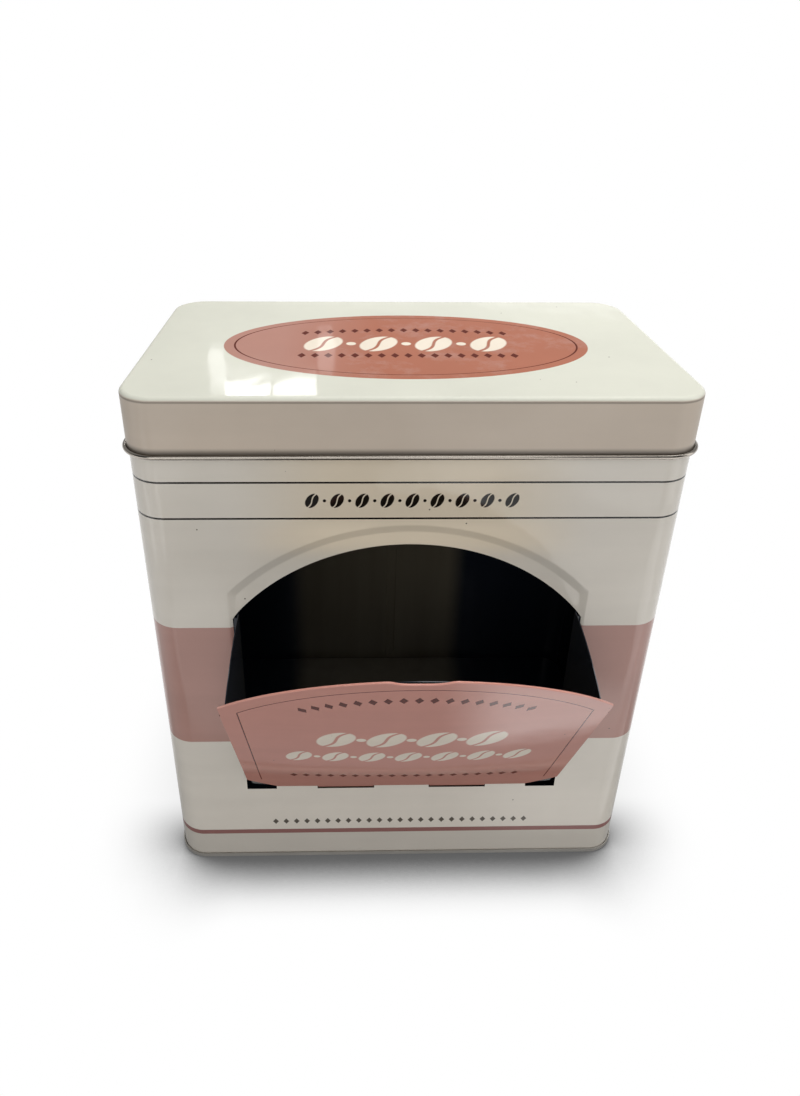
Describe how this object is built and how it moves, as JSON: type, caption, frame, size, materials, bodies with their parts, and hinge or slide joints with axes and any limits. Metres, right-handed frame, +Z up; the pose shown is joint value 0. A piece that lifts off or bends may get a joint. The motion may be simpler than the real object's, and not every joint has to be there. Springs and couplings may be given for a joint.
{
  "type": "capsule tin",
  "caption": "Rectangular tinplate box with rounded corners, a lift-off slip lid and a drop-down arched door with cheeks over its front mouth.",
  "frame": {"origin": "under the middle of the part's box, on the plane that the base rim rests on, with the door open as pictured", "axes": "+X to the tin's right as seen from its front, -Y out of the front with the door, +Z up"},
  "size_m": [0.2028, 0.1754, 0.226],
  "materials": {
    "cream_print": "gloss cream print on tinplate",
    "pink_print": "gloss dusty pink print on tinplate",
    "black_lacquer": "gloss black lacquer",
    "bare_steel": "bare tinplate"
  },
  "bodies": {
    "tin": {"body_wall": "cream_print", "base_panel": "bare_steel", "floor_tray": "black_lacquer", "hinge_wire": "bare_steel"},
    "lid": {"lid": "cream_print"},
    "door": {"door_face": "pink_print", "door_liner": "black_lacquer"}
  },
  "joints": [
    {"name": "door_hinge", "type": "hinge", "parent": "tin", "child": "door", "pos_m": [0, -0.02759, 0.0445], "axis": [1, 0, 0], "range_deg": [-26.4, 0]},
    {"name": "lid_lift", "type": "slide", "parent": "tin", "child": "lid", "axis": [0, 0, 1], "range_m": [0, 0.06]}
  ]
}
